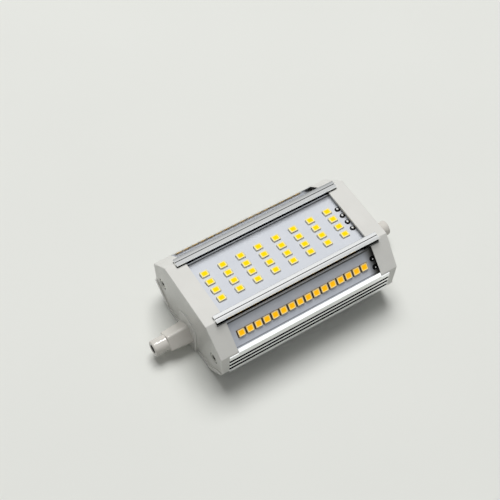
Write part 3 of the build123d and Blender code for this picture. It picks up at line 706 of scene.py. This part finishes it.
@dataclass
class LedPackages:
    """The LED packages on one board: moulded bodies, phosphor fills and the solder at their ends.

    Attributes:
        size, fill_size: Length and width of a package and of the well that holds the fill.
        pitch, count: Steps and packages along and across the board.
        dish: How far the fill sinks from the wall to its middle.
        fill_gap: How far the fill's rim lies under the package's.
        drop: How far the rows on the slopes lie below the middle of their boards.
    """

    side: Side
    faces: Faces
    size: Pair
    fill_size: Pair
    pitch: Pair
    count: tuple[int, int]
    height: float = 0.7
    corner: Pair = (0.2, 0.45)
    well: float = 0.3
    dish: float = 0.05
    fill_gap: float = 0.04
    drop: float = 0.35

    def places(self) -> Array:
        """The packages' places."""
        return self.faces.grid(self.side, (LED_MIDDLE, self.side.sign * self.drop), self.pitch, self.count)

    def outlines(self, share: Array, inset: Array) -> Array:
        """Work out rounded rectangles between the package's outline and the well's.

        Outline j goes from the package's, at share 0, to the well's, at share 1, and is then drawn in by inset j.

        Args:
            share: Way from the package's outline to the well's.
            inset: How far each outline is drawn in.

        Returns:
            Points, (outlines, points, 2).
        """
        ways = (*((outer / 2, inner / 2) for outer, inner in zip(self.size, self.fill_size)), self.corner)
        half_x, half_y, radius = (outer + share * (inner - outer) - inset for outer, inner in ways)
        return rounded_rectangle(half_x, half_y, np.maximum(radius, 0.06))

    def body(self) -> None:
        """Build the moulded bodies: up the outer wall, painted darker as shade, over a rounded rim and down into the
        well.
        """
        top, floor = self.height, self.height - self.well
        # Each ring: way from the package's outline to the well's, inset, height and depth of its tone, which paints
        # shade on the outer wall
        share, inset, height, tone = np.array([
            (0, 0.04, 0.0, 1.0), (0, 0.0, 0.04, 1.0), (0, 0.0, top - 0.09, 1.0), (0, 0.03, top - 0.03, 0.4),
            (0, 0.09, top, 0.0), (1, -0.06, top, 0.0), (1, -0.02, top - 0.02, 0.0), (1, 0.0, top - 0.06, 0.0),
            (1, 0.0, floor, 0.0),
        ]).T
        word = self.side.value
        finish = TOP_LED_BODY if self.side is Side.TOP else SLOPE_LED_BODY
        add_row(
            f"{word}_led_package_bodies", stacked(self.outlines(share, inset), height), self.places(), finish,
            f"{word}_led_housings", tone,
        )

    def fill(self) -> None:
        """Build the fills: a dish whose depth grows with the square of the way from the wall to the middle."""
        share = np.array([1.0, 1.0, 0.86, 0.7, 0.5, 0.25])
        tone = np.array([0.0, 0.0, 0.2, 0.45, 0.75, 1.0])
        dish = self.height - self.fill_gap - self.dish * (1 - share[1:] ** 2)
        flat = share[:, None, None] * self.outlines(np.ones(1), np.zeros(1))
        rings = stacked(flat, np.array([self.height - self.well, *dish]))
        word = self.side.value
        finish = TOP_PHOSPHOR if self.side is Side.TOP else SLOPE_PHOSPHOR
        add_row(
            f"{word}_led_phosphor_fills", rings, self.places(), finish,
            f"{word}_led_phosphors", tone,
        )

    def solder(self) -> None:
        """Build the solder at both ends of each package.

        A hollow quarter-round fillet runs across the package's end: its height falls with the square of the way out,
        and it shrinks at both sides.
        """
        reach, rise, behind, half, side = 0.3, 0.34, -0.1, 1.05, 0.12
        way_in = np.linspace(0, 1, 5)[::-1]
        curve = np.stack([reach * way_in, rise * (1 - way_in) ** 2], -1)
        profile = np.concatenate([[[behind, 0.0]], curve, [[behind, rise]]])
        station = np.array([-half, -half + side, half - side, half])[:, None]
        swell = np.array([0.55, 1.0, 1.0, 0.55])[:, None]
        rings = np.stack(np.broadcast_arrays(
            self.size[0] / 2 + swell * profile[:, 0], station, swell * profile[:, 1],
        ), -1)
        half_turn = np.diag([-1.0, -1.0, 1.0, 1.0])
        places = np.concatenate([self.places(), self.places() @ half_turn])
        add_row(f"{self.side.value}_led_solder", rings, places, REFLOWED_SOLDER, flipped=True)

    def solder_and_gap_shade(self) -> None:
        """Build the solder at the packages' ends, dark brown as painted shade, which fills the narrow gaps of a row
        and shows under each package's lower edge.

        Rounded rectangles step out from the package's wall to the middle of the gap, and their height falls with the
        square of the way out. They lie a little down the slope, so none shows at the upper edge.
        """
        reaches, rise, behind, corner, lower = (0.36, 0.14), 0.3, 0.05, 0.2, 0.14
        out = np.linspace(0, 1, 5)
        half_x, half_y = (
            half - behind + (reach + behind) * out for half, reach in zip(np.array(self.size) / 2, reaches)
        )
        flat = rounded_rectangle(half_x, half_y, np.full(len(out), corner))
        flat[..., 1] += self.side.sign * lower
        rings = stacked(flat, rise * (1 - out) ** 2)
        add_row(f"{self.side.value}_led_solder", rings, self.places(), SOLDER_WITH_PAINTED_SHADE, flipped=True)

    def build(self) -> None:
        """Build the bodies, the fills and the solder."""
        self.body()
        self.fill()
        if self.side is Side.TOP:
            self.solder()
        else:
            self.solder_and_gap_shade()


@dataclass
class SolderJoints:
    """The domes of solder over the lead ends of one board, in a line across it.

    Attributes:
        dark_until_deg, fade_deg: How far up the dome the sides are painted dark, as a painted dark reflection, and
            over how
        many degrees that fades out.
        drop: How far the line on a slope lies below the middle of its board.
    """

    side: Side
    faces: Faces
    count: int
    pitch: float
    dark_until_deg: float
    fade_deg: float = 18.0
    x: float = 33.9
    drop: float = 0.7
    radius: float = 1.2
    height: float = 0.85
    columns: int = 24

    def places(self) -> Array:
        """The joints' places."""
        return self.faces.grid(self.side, (self.x, self.side.sign * self.drop), (0.0, self.pitch), (1, self.count))

    def build(self) -> None:
        """Build the domes.

        The radius falls from the foot to the crown as a cosine and the height rises as a sine, with a thin wetted
        foot round it; each dome is a little out of round, and each is turned another way.
        """
        rise = np.linspace(0, 84, 9)
        radius = np.concatenate([[1.0, 0.99, 0.9], 0.86 * np.cos(np.radians(rise))]) * self.radius
        height = np.concatenate([[0.0, 0.05, 0.1], 0.14 + 0.86 * np.sin(np.radians(rise))]) * self.height
        # The dome's sides are painted dark, a painted dark reflection, fading out towards the crown
        painted_dark = np.concatenate([[1.0, 1.0, 1.0], np.clip((self.dark_until_deg - rise) / self.fade_deg, 0, 1)])
        turn = np.radians(np.arange(self.columns) * 360 / self.columns)
        widest = np.where(np.arange(len(radius)) == 0, 1.0, 1.02)[:, None]
        wobbly = radius[:, None] * np.minimum(1 + 0.035 * np.cos(2 * turn + 0.6), widest)
        rings = stacked(np.stack([wobbly * np.cos(turn), wobbly * np.sin(turn)], -1), height)
        places = self.places()
        turned = np.stack([np.array(Matrix.Rotation(2.1 * i, 4, "Z")) for i in range(len(places))])
        word = self.side.value
        add_row(f"{word}_solder_domes", rings, places @ turned, SOLDER, f"{word}_solder_joints", painted_dark)


@dataclass
class ContactBase:
    """A tapered square collar with rounded corners, and a round nose with a recess for the contact.

    Attributes:
        roll_deg: How far the base is turned in the cap: the direction of one of the collar's flats.
    """

    end: End
    axis_z: float = 7.3
    roll_deg: float = 37.0
    count: int = 96

    def build(self) -> None:
        """Lay rings round the nose's axis, out along the outside and back through the bore.

        Each ring is a square with rounded corners: half its side, h, and the corners' radius, c, which is also h
        where the ring is round. At an angle t from the middle of a side, the distance from the axis is h / cos t on
        the side, and that of the corner's circle round (h - c, h - c) beyond it. The last ring joins the first one,
        so the surface is closed.
        """
        spigot = [(38.8, 2.3), (38.8, 3.2), (42.8, 3.2)]
        collar = [
            (42.8, 4.12, 1.1), (43.1, 4.1, 1.1), (52.2, 3.62, 1.1), (52.45, 3.59, 1.1), (52.56, 3.55, 1.08),
            (52.6, 3.49, 1.05),
        ]
        nose = [
            (52.6, 3.46), (52.66, 3.41), (52.8, 3.4), (58.3, 3.4), (58.7, 3.36), (58.9, 3.24), (59.0, 3.02),
            (59.0, 2.14), (58.93, 1.98), (58.7, 1.9), (57.2, 1.9), (57.2, 1.6), (56.4, 1.6), (56.4, 1.25),
            (51.2, 1.25), (51.2, 2.3),
        ]
        # A round ring's half side is its radius too
        rings = np.array([ring if len(ring) == 3 else (*ring, ring[1]) for ring in (*spigot, *collar, *nose)])
        place, half, corner = (column[:, None] for column in rings.T)
        turn = np.arange(self.count)[None, :] * 2 * np.pi / self.count
        off = np.abs((turn - radians(self.roll_deg) + np.pi / 4) % (np.pi / 2) - np.pi / 4)
        middle = half - corner
        arc = corner**2 - (middle * (np.cos(off) - np.sin(off))) ** 2
        on_corner = middle * (np.cos(off) + np.sin(off)) + np.sqrt(np.maximum(arc, 0))
        radius = np.where(half * np.tan(off) <= middle, half / np.cos(off), on_corner)
        sign = self.end.value
        points = np.stack([
            np.broadcast_to(sign * place, radius.shape),
            sign * radius * np.cos(turn),
            self.axis_z + radius * np.sin(turn),
        ], -1)
        faces = grid_faces(len(rings), self.count, closed_rows=True)
        # The recess, into which shade is painted, begins behind the rounded rim, two rings after the tip
        inside = (np.arange(len(rings)) > rings[:, 0].argmax() + 2).astype(float)
        add_piece(
            f"{self.end.word}_contact_nose", points.reshape(-1, 3), [faces[:, ::-1]], NOSE_PLASTIC,
            f"{self.end.word}_contact_base", np.repeat(inside, self.count),
        )


@dataclass
class EndFittings:
    """What closes one end of the lamp: the moulded cap, its screws, its contact base and the contact.

    Attributes:
        hole_reach: How far past a screw head its hole's wall counts as in the hole.
        tongue_z: Lowest and highest point of the tongues over the slope boards.
        dark_under: Depth under the flat of a screw head from which it is painted dark as shade.
        cross_shade: Distance from a screw's axis where the shade painted round the cross begins, and over which it
            grows.
    """

    end: End
    edge: float = 0.18
    screw_edge: float = 0.05
    head_radius: float = 2.4
    head_height: float = 1.5
    hole_reach: float = 0.22
    tongue_z: Pair = (22.0, 31.2)
    dark_under: float = 0.4
    cross_shade: Pair = (1.9, 0.8)

    def from_screws(self, points_mm: Array) -> tuple[Array, Array]:
        """Work out where points lie from the screws, whose places follow from the box round both of them.

        Args:
            points_mm: Points, (n, 3).

        Returns:
            Distances from the nearer screw's axis, and depths under the flat of its head.
        """
        low, high = (np.array(corner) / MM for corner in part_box(f"{self.end.word}_cap_screws"))
        off_y = np.abs(points_mm[:, 1]) - (high[1] - self.head_radius)
        off_z = points_mm[:, 2] - (high[2] + low[2]) / 2
        return np.hypot(off_y, off_z), max(abs(low[0]), abs(high[0])) - np.abs(points_mm[:, 0])

    def cap_depth(self, points_mm: Array, normals: Array) -> Array:
        """Work out where shade is painted on the cap: deep in its two screw holes, and on the end walls of its slope
        tongues.

        A point counts as in a hole where its distance from a screw's axis is at most the hole's radius, and its depth
        is measured from the flat of the screw's head. The end walls face the lamp's middle.

        Args:
            points_mm: Points, (n, 3).
            normals: Normals of the faces that they are corners of, (n, 3).

        Returns:
            Depths from 0 to 1, where 1 is an end wall, or the seat of the head or more.
        """
        off_axis, under_face = self.from_screws(points_mm)
        depth = np.clip(under_face / self.head_height, 0, 1)
        in_hole = np.where(off_axis <= self.head_radius + self.hole_reach, depth, 0.0)
        low, high = self.tongue_z
        height = points_mm[:, 2]
        on_wall = (normals[:, 0] * self.end.value < -FACING) & (height > low) & (height < high)
        return np.maximum(in_hole, on_wall)

    def screw_depth(self, points_mm: Array, _normals: Array) -> Array:
        """Paint shade on the screws under the flat of their heads, and round the cross."""
        off_axis, under_face = self.from_screws(points_mm)
        return np.clip(np.maximum(under_face / self.dark_under, (self.cross_shade[0] - off_axis) / self.cross_shade[1]), 0, 1)

    def build(self) -> None:
        """Soften the cap and the screws, build the contact base and dress the other pieces."""
        word = self.end.word
        softened_copy(f"{word}_end_cap", f"{word}_moulded_cap", CAP_PLASTIC, self.edge, self.cap_depth)
        ContactBase(self.end).build()
        softened_copy(
            f"{word}_cap_screws", f"{word}_cross_head_screws", SCREW_STEEL,
            self.screw_edge, self.screw_depth,
        )
        dress(f"{word}_contact", CONTACT)
        dress(f"{word}_input_lead", WHITE_LEAD)


@dataclass
class HeatSink:
    """The aluminium extrusion.

    Attributes:
        ridge, ridge_z: Inner and outer sides of the ridges, and the height of their tops.
        slope_sum: What y and z add up to on the end caps' slopes.
        board_recess: How far the slope boards lie under these slopes.
        full_depth: Depth that counts as the bottom of a groove.
        score_allowance: Depth on the ridges' tops that still counts as bright.
        slot_z: Heights of the floor and the ceiling of the ridges' slots.
        touch: How near a point has to be to count as on a line.
        top_zone: How far down from the ridges' tops a face belongs to them.
        outer_strip: Width of the strip of painted shade along a ridge's outer edge.
        slot_tones: Painted shade, as depth attribute, of the slots' floors, and of the walls below and above the
            outer slots.
        top_tones: Painted shade, as depth attribute, of the tops' outer strips, and of the rear ridge's top.
    """

    edge: float = 0.06
    half_width: float = 27.0
    back_z: float = 0.5
    back_half_width: float = 16.4
    low_corner_z: float = 11.0
    board_z: float = 31.6
    ridge: Pair = (13.5, 17.2)
    ridge_z: float = 35.3
    slope_sum: float = 49.9
    board_recess: float = 1.7
    full_depth: float = 0.8
    score_allowance: float = 0.2
    slot_z: Pair = (33.1, 34.7)
    touch: float = 0.05
    top_zone: float = 0.35
    outer_strip: float = 0.3
    slot_tones: Triple = (1.0, 0.1, 0.06)
    top_tones: Pair = (0.04, 0.035)

    def depth(self, points_mm: Array, normals: Array) -> Array:
        """Work out how deep points lie under the extrusion's plain outline, without its slots and grooves, for the
        shade painted into them.

        The outline is the body's eight-sided section up to the boards, with the two ridges on it. In each of these
        convex shapes the depth is the smallest distance to a side, and the greater of the two depths counts. The
        sawn ends are bright all over.

        Args:
            points_mm: Points, (n, 3).
            normals: Normals of the faces that they are corners of, (n, 3).

        Returns:
            Depths from 0 to 1, where 1 is the full depth or more.
        """
        y, z = np.abs(points_mm[:, 1]), points_mm[:, 2]
        run, rise = self.half_width - self.back_half_width, self.low_corner_z - self.back_z
        chamfer = ((z - self.back_z) * run - (y - self.back_half_width) * rise) / np.hypot(run, rise)
        slope = (self.slope_sum - y - z) / np.sqrt(2) - self.board_recess
        body = np.minimum.reduce([self.half_width - y, z - self.back_z, chamfer, slope, self.board_z - z])
        ridge = np.minimum.reduce([y - self.ridge[0], self.ridge[1] - y, self.ridge_z - self.score_allowance - z])
        sunk = np.clip(np.maximum(body, ridge) / self.full_depth, 0, 1)
        shaded = np.maximum(sunk, self.ridge_shade(points_mm, normals))
        return np.where(np.abs(normals[:, 0]) > FACING, 0.0, shaded)

    def ridge_shade(self, points_mm: Array, normals: Array) -> Array:
        """Work out where shade is painted on the ridges, beside what their depth gives.

        The slots' floors are painted dark up to their edges. Below and above the outer slots the painted shade fades
        away from them, and the tops are painted a little darker along their outer edges and on the rear ridge.

        Args:
            points_mm: Points, (n, 3).
            normals: Normals of the faces that they are corners of, (n, 3).

        Returns:
            Depths from 0 to 1.
        """
        y, z = np.abs(points_mm[:, 1]), points_mm[:, 2]
        inner, outer = self.ridge
        faces_up, faces_out = normals[:, 2] > FACING, np.abs(normals[:, 1]) > FACING
        at_floor, at_ceiling = (np.abs(z - height) < self.touch for height in self.slot_z)
        in_ridge = (y > inner - 2 * self.touch) & (y < outer + 2 * self.touch)
        outside = faces_out & (np.abs(y - outer) < self.touch)
        on_top = faces_up & (z > self.ridge_z - self.top_zone) & in_ridge
        strip, rear = (y > outer - self.outer_strip), points_mm[:, 1] > 0
        return np.select(
            [faces_up & at_floor & in_ridge, outside & at_floor, outside & at_ceiling],
            self.slot_tones,
            on_top * (self.top_tones[0] * strip + self.top_tones[1] * rear),
        )

    def build(self) -> None:
        """Soften the extrusion's edges and mark how deep each point lies, for the shade painted into its slots and
        grooves.
        """
        softened_copy("heatsink_body", "extruded_heat_sink", ALUMINIUM, self.edge, self.depth)


@dataclass
class Boards:
    """The three LED boards with what is soldered on them."""

    faces: Faces

    def build(self) -> None:
        """Dress each board and build its LED packages and solder joints.

        The top carries eight columns of four packages and four joints, each slope a row of sixteen and two joints.
        """
        for side, mask in ((Side.TOP, TOP_MASK), (Side.FRONT, FRONT_MASK), (Side.REAR, REAR_MASK)):
            dress(f"{side.value}_led_board", mask)
            if side is Side.TOP:
                packages = LedPackages(side, self.faces, (3.5, 2.8), (2.7, 2.25), TOP_PITCH, (8, 4))
                joints = SolderJoints(side, self.faces, count=4, pitch=3.7, dark_until_deg=66.0)
            else:
                packages = LedPackages(side, self.faces, (3.2, 3.0), (2.55, 2.4), (SLOPE_PITCH, 0.0), (16, 1))
                joints = SolderJoints(side, self.faces, count=2, pitch=3.75, dark_until_deg=90.0)
            packages.build()
            joints.build()
            dress(f"{side.value}_output_leads", RED_LEAD)


@dataclass
class Driver:
    """The driver board and its parts, inside the heat sink."""

    def build(self) -> None:
        """Dress each part with its own finish."""
        finishes = {
            "driver_board": GREEN_MASK, "fuse_resistor": BLUE_COAT, "varistor": BLUE_COAT,
            "bridge_rectifier": BLACK_PACKAGE, "film_capacitor": RED_COAT, "choke": BLACK_PACKAGE,
            "bulk_capacitor": CAN_SLEEVE, "transformer_core": FERRITE, "transformer_winding": TAPE,
            "driver_chip": BLACK_PACKAGE, "output_diode": BLACK_PACKAGE, "output_capacitor": CAN_SLEEVE,
        }
        for node, finish in finishes.items():
            dress(node, finish)


@dataclass
class Studio:
    """A pale floor, a soft sky, a soft lamp and two bright cards.

    Attributes:
        floor_gap: Hair's breadth between the floor and the caps' flat undersides.
        backdrop: Colour that the eye sees in place of the sky, sRGB hex.
        sky_level, mirrored_level: Strength of the sky as a light, and as polished surfaces mirror it.
        aim: The place that the lamp and the cards face.
    """

    floor_half: float = 1500.0
    floor_gap: float = 0.05
    floor_finish: Finish = StudioPaper(
        "pale_matt_paper", "#e4e5e0", "#e2e3de", (0.85, 0.95), ior=1.4, grain_mm=1.0, drift_mm=120.0, relief_mm=0.002,
    )
    zenith: str = "#ffffff"
    haze: str = "#cfd1d0"
    horizon: str = "#9b9e9f"
    backdrop: str = "#e6e7e2"
    sky_level: float = 0.3
    mirrored_level: float = 1.0
    aim: Triple = (0.0, 0.0, 20.0)

    def floor(self) -> None:
        """Lay the floor just under the faces that the lamp rests on."""
        mesh = bpy.data.meshes.new("floor")
        half = self.floor_half * MM
        low = -self.floor_gap * MM
        corners = [(-half, -half, low), (half, -half, low), (half, half, low), (-half, half, low)]
        mesh.from_pydata(corners, [], [(0, 1, 2, 3)])
        mesh.materials.append(self.floor_finish.material())
        floor = bpy.data.objects.new("floor", mesh)
        bpy.context.scene.collection.objects.link(floor)

    def world(self) -> None:
        """Make the sky: a soft light, which the eye sees as a pale backdrop and polished surfaces see brighter."""
        world = bpy.data.worlds.new("studio_sky")
        bpy.context.scene.world = world
        world.use_nodes = True
        world.node_tree.nodes.clear()
        nodes = Nodes(world.node_tree)
        levels = {"Value": nodes.rays(*POLISHED_RAYS), "To Min": self.sky_level, "To Max": self.mirrored_level}
        level = nodes.add("ShaderNodeMapRange", levels)
        rise = nodes.axis(nodes.add("ShaderNodeTexCoord", None, "Generated"), "Z")
        shade = nodes.ramp(rise, {0.0: self.horizon, 0.55: self.haze, 0.85: self.zenith})
        light = nodes.add("ShaderNodeBackground", {"Color": shade, "Strength": level})
        backdrop = nodes.add("ShaderNodeBackground", {"Color": linear(self.backdrop), "Strength": 1.0})
        sky = nodes.add("ShaderNodeMixShader", {0: nodes.rays("Is Camera Ray"), 1: light, 2: backdrop})
        nodes.add("ShaderNodeOutputWorld", {"Surface": sky})

    def lamp(
        self, name: str, place_mm: Triple, size_mm: float, watts: float, task: Task,
        shown_in: str | None = None,
    ) -> None:
        """Hang a square soft lamp that faces the lamp's middle.

        Args:
            name: The lamp's name.
            place_mm: Where it hangs.
            size_mm: Its side length.
            watts: Its power.
            task: Whether it lights the surfaces or only shows in polished ones.
            shown_in: The one piece that it falls on; all pieces by default.
        """
        light = bpy.data.lights.new(name, "AREA")
        light.size = size_mm * MM
        light.energy = watts
        lamp = bpy.data.objects.new(name, light)
        lamp.location = Vector(place_mm) * MM
        lamp.rotation_euler = (Vector(self.aim) - Vector(place_mm)).to_track_quat("-Z", "Y").to_euler()
        lamp.visible_glossy = task is Task.MIRRORED
        lamp.visible_diffuse = task is Task.LIGHT
        bpy.context.scene.collection.objects.link(lamp)
        if shown_in:
            receivers = bpy.data.collections.new(f"{name}_receivers")
            receivers.objects.link(bpy.data.objects[shown_in])
            lamp.light_linking.receiver_collection = receivers

    def build(self) -> None:
        """Set the floor, the sky and the lamps."""
        self.floor()
        self.world()
        self.lamp("key_rear_right", (330.0, 840.0, 2550.0), 1440.0, 63.0, Task.LIGHT)
        self.lamp("card_front_right", (308.0, -793.0, 375.0), 400.0, 0.42, Task.MIRRORED)
        self.lamp("card_by_left_nose", (-26.0, 40.0, 141.0), 30.0, 0.12, Task.MIRRORED, "left_contact_nose")
        bpy.context.scene.view_settings.view_transform = "Standard"


@dataclass
class PhotoCamera:
    """The camera at the photograph's viewing angle.

    Attributes:
        azimuth_deg: Its direction round Z; 0 is straight in front and negative is to the left.
        roll_deg: How far its right side is turned up.
        clip: Nearest and farthest distance that shows, in metres.
    """

    place: Triple = (-152.26, -200.79, 402.75)
    azimuth_deg: float = -34.69
    elevation_deg: float = 55.73
    roll_deg: float = 2.95
    lens: float = 79.41
    sensor: float = 36.0
    clip: Pair = (0.01, 20.0)

    def build(self) -> None:
        """Make the camera and set it as the scene's own."""
        azimuth, elevation, roll = map(radians, (self.azimuth_deg, self.elevation_deg, self.roll_deg))
        back = Vector((sin(azimuth) * cos(elevation), -cos(azimuth) * cos(elevation), sin(elevation)))
        level = Vector((0, 0, 1)).cross(back).normalized()
        right = cos(roll) * level + sin(roll) * back.cross(level)
        data = bpy.data.cameras.new("photo_camera")
        data.sensor_fit = "HORIZONTAL"
        data.sensor_width = self.sensor
        data.lens = self.lens
        data.clip_start, data.clip_end = self.clip
        camera = bpy.data.objects.new("photo_camera", data)
        turn = Matrix((right, back.cross(right), back)).transposed().to_4x4()
        camera.matrix_world = Matrix.Translation(Vector(self.place) * MM) @ turn
        bpy.context.scene.collection.objects.link(camera)
        bpy.context.scene.camera = camera


def main() -> None:
    """Build the camera, the lamp's pieces in order and the studio."""
    logging.basicConfig(level=logging.INFO, format="%(name)s %(message)s")
    PhotoCamera().build()
    HeatSink().build()
    Boards(Faces()).build()
    for end in End:
        EndFittings(end).build()
    Driver().build()
    Studio().build()


if __name__ == "__main__":
    main()
